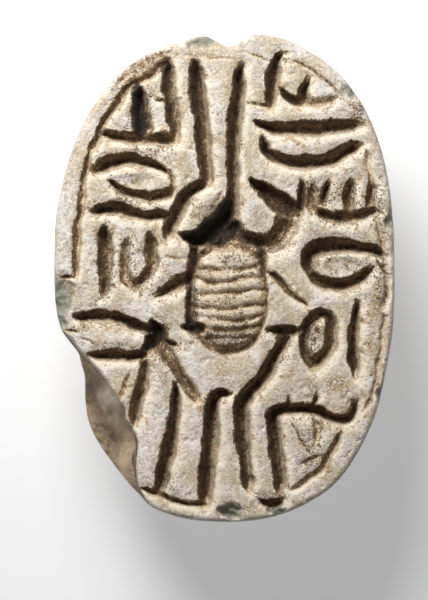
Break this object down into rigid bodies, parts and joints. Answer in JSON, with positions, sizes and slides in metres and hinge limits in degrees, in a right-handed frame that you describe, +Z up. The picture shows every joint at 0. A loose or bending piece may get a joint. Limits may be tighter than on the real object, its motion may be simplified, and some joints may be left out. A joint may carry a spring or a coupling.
{
  "type": "scarab seal",
  "caption": "Carved soft-stone seal shaped as a beetle, with an incised oval seal face and a lengthwise threading hole; it lies on its back, face up.",
  "frame": {"origin": "under the middle of the seal, on the level that it lies on", "axes": "+Z up out of the seal face, +Y along the seal towards the beetle's head, +X across it"},
  "size_m": [0.0126, 0.018, 0.008],
  "materials": {
    "steatite": "fired steatite with its glaze lost, warm grey and worn smooth on the high places, with brown dirt in the cuts"
  },
  "bodies": {
    "root": {"scarab_seal": "steatite"}
  },
  "joints": []
}
